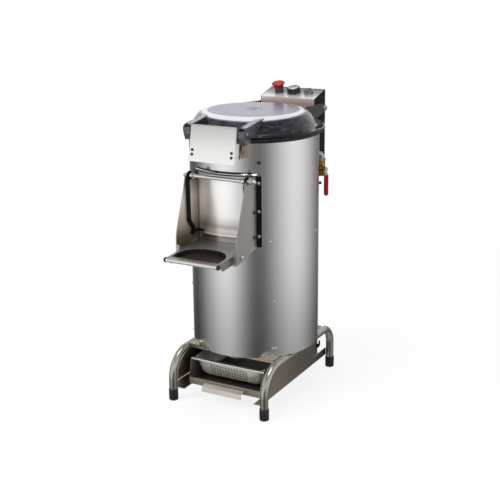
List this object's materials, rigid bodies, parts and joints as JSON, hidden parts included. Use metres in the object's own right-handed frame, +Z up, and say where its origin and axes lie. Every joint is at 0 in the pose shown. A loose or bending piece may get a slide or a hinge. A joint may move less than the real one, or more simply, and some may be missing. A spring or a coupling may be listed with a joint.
{
  "type": "electric potato peeler",
  "caption": "Upright drum peeler on a tubular stand, with hinged lid and latch, discharge door and tray, sloping control panel, water valve and filter drawer.",
  "frame": {"origin": "on the floor, under the middle of the whole machine's box", "axes": "+X to the machine's right as seen from the front, +Y from the discharge chute to the control column, +Z up"},
  "size_m": [0.424, 0.6756, 0.9231],
  "materials": {
    "hoop_steel": "bent tube, fine brushed",
    "foot_rubber": "matt moulded",
    "sheet_steel": "brushed sheet",
    "shell_steel": "vertical-grain brushed sheet",
    "abrasive": "bonded grit, rough",
    "polished_steel": "polished stainless",
    "seal_rubber": "extruded, satin",
    "cheek_steel": "fine brushed sheet",
    "black_metal": "satin powder coat",
    "fasteners": "plain stainless",
    "dark_fasteners": "blackened steel",
    "screw_brown": "dark bronzed",
    "black_plastic": "moulded, satin",
    "grey_plastic": "moulded, satin",
    "panel_steel": "fine brushed sheet",
    "motor_paint": "sprayed grey-blue",
    "cast_grey": "machined casting",
    "bearing_steel": "ground steel",
    "belt_rubber": "moulded belt",
    "duct_plastic": "extruded pipe",
    "pipe_steel": "plain pipe",
    "brass": "turned and tumbled",
    "lid_smoke": "moulded smoked polycarbonate",
    "latch_steel": "satin sheet",
    "red_plastic": "moulded",
    "red_sleeve": "dipped vinyl",
    "green_plastic": "moulded translucent cap",
    "shaft_steel": "ground shaft",
    "pan_steel": "pressed and perforated sheet"
  },
  "bodies": {
    "stand": {"left_hoop": "hoop_steel", "right_hoop": "hoop_steel", "rubber_feet": "foot_rubber", "base_plate": "sheet_steel", "side_panels": "sheet_steel", "drawer_rails": "sheet_steel", "outer_shell": "shell_steel", "chamber_liner": "abrasive", "chamber_floor": "sheet_steel", "top_ring": "sheet_steel", "opening_frame": "polished_steel", "drum_trims": "seal_rubber", "left_cheek": "cheek_steel", "right_cheek": "cheek_steel", "clamp_strips": "black_metal", "cross_rod": "polished_steel", "rod_fittings": "fasteners", "tray_bolts": "fasteners", "striker_brackets": "cheek_steel", "shell_screws": "fasteners", "side_studs": "screw_brown", "control_column": "black_metal", "control_panel": "panel_steel", "column_brackets": "sheet_steel", "estop_collar": "grey_plastic", "start_bezel": "black_plastic", "hinge_bolts": "fasteners", "motor": "motor_paint", "motor_plate": "sheet_steel", "bearing_housing": "cast_grey", "shaft_bearings": "bearing_steel", "belt": "belt_rubber", "waste_duct": "duct_plastic", "water_pipe": "pipe_steel", "valve_body": "brass", "cable_gland": "black_plastic"},
    "lid": {"lid": "lid_smoke", "lid_gasket": "seal_rubber", "latch_pins": "fasteners"},
    "latch": {"latch_plate": "latch_steel", "latch_hooks": "sheet_steel", "latch_bolts": "dark_fasteners"},
    "door": {"door_panel": "polished_steel", "door_arms": "black_metal", "door_seal": "seal_rubber"},
    "tray": {"tray_plate": "cheek_steel", "tray_dish": "black_plastic", "tray_bar": "polished_steel", "bar_caps": "grey_plastic"},
    "estop": {"estop_button": "red_plastic"},
    "timer": {"timer_knob": "black_plastic"},
    "start": {"start_button": "green_plastic"},
    "valve": {"valve_lever": "pipe_steel", "lever_sleeve": "red_sleeve"},
    "disc": {"abrasive_disc": "abrasive", "drive_shaft": "shaft_steel", "driven_pulley": "cast_grey"},
    "rotor": {"motor_rotor": "bearing_steel"},
    "drawer": {"drawer_tray": "sheet_steel", "filter_pan": "pan_steel"}
  },
  "joints": [
    {"name": "lid_hinge", "type": "hinge", "parent": "stand", "child": "lid", "pos_m": [0, 0.29776, 0.846], "axis": [-1, 0, 0], "range_deg": [0, 55]},
    {"name": "latch_hinge", "type": "hinge", "parent": "lid", "child": "latch", "pos_m": [0, -0.18124, 0.84], "axis": [-1, 0, 0], "range_deg": [0, 35]},
    {"name": "door_hinge", "type": "hinge", "parent": "stand", "child": "door", "pos_m": [0, -0.17924, 0.706], "axis": [-1, 0, 0], "range_deg": [0, 58]},
    {"name": "tray_hinge", "type": "hinge", "parent": "stand", "child": "tray", "pos_m": [0, -0.22524, 0.497], "axis": [-1, 0, 0], "range_deg": [0, 25]},
    {"name": "estop_push", "type": "slide", "parent": "stand", "child": "estop", "axis": [0, 0.2569, -0.9664], "range_m": [0, 0.004], "stiffness_N_per_m": 1500, "springref_m": -0.002},
    {"name": "timer_turn", "type": "hinge", "parent": "stand", "child": "timer", "pos_m": [0.003, 0.29826, 0.8885], "axis": [0, 0.2569, -0.9664], "range_deg": [0, 300]},
    {"name": "start_push", "type": "slide", "parent": "stand", "child": "start", "axis": [0, 0.2569, -0.9664], "range_m": [0, 0.0025], "stiffness_N_per_m": 800, "springref_m": -0.002},
    {"name": "valve_turn", "type": "hinge", "parent": "stand", "child": "valve", "pos_m": [0.1643, 0.16613, 0.684], "axis": [0.866, -0.5, 0], "range_deg": [0, 90]},
    {"name": "disc_spin", "type": "hinge", "parent": "stand", "child": "disc", "pos_m": [0, 0.03776, 0.5], "axis": [0, 0, 1], "continuous": true},
    {"name": "rotor_spin", "type": "hinge", "parent": "stand", "child": "rotor", "pos_m": [0, 0.14976, 0.229], "axis": [0, 0, 1], "continuous": true},
    {"name": "drawer_slide", "type": "slide", "parent": "stand", "child": "drawer", "axis": [0, -1, 0], "range_m": [0, 0.24]}
  ],
  "couplings": [
    {"joint": "rotor_spin", "follows": "disc_spin", "ratio": 2.5722}
  ]
}
